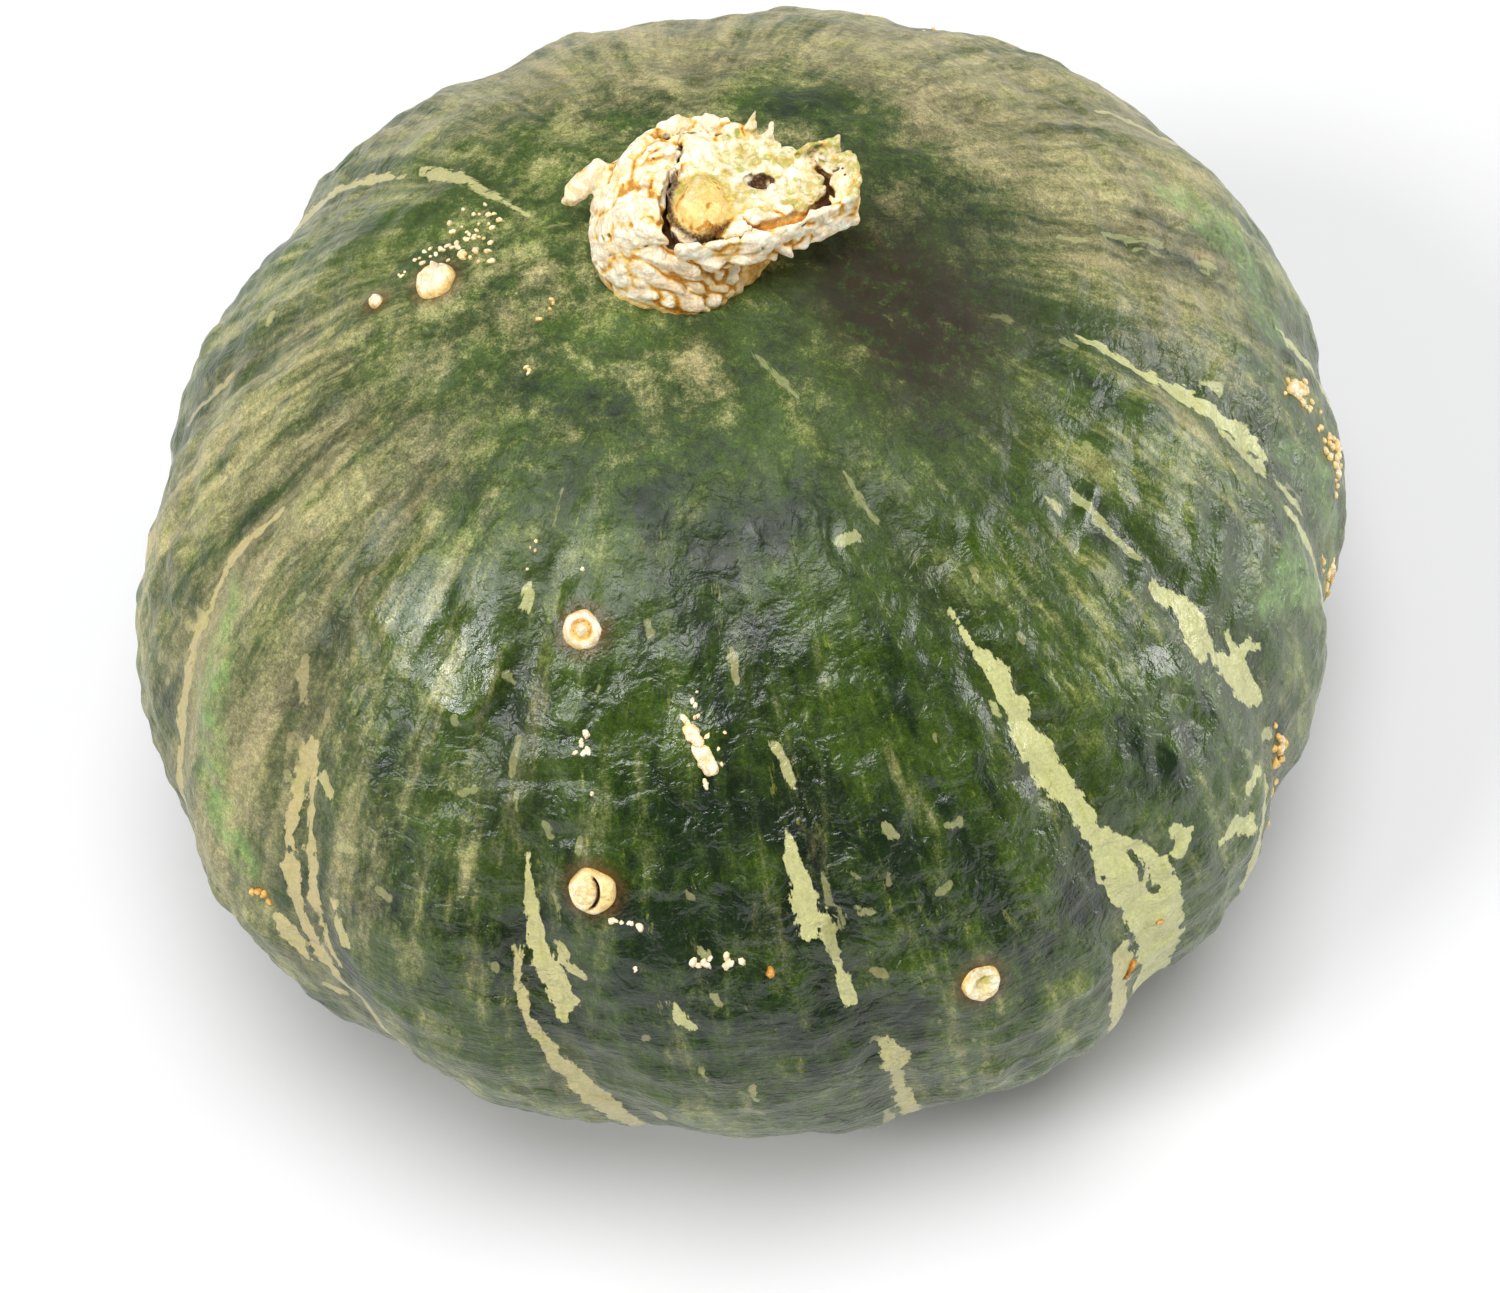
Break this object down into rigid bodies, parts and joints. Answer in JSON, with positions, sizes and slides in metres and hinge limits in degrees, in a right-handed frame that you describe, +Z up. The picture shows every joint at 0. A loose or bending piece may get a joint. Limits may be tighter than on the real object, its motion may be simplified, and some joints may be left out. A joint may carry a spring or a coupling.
{
  "type": "kabocha squash",
  "caption": "Whole green kabocha squash with shallow ribs, pale streaks, corky knobs and a dried corky stem stub, standing on its base.",
  "frame": {"origin": "under the middle of the fruit, on the surface that it rests on", "axes": "+Z up through the stem, -Y the front, +X to the right"},
  "size_m": [0.185, 0.1828, 0.1415],
  "materials": {
    "rind": "waxy satin dark green rind, mottled and speckled, with cream and pale green streaks in the grooves",
    "cork": "dry cracked cream cork with orange-brown crevices"
  },
  "bodies": {
    "root": {"fruit": "rind", "stem": "cork"}
  },
  "joints": []
}
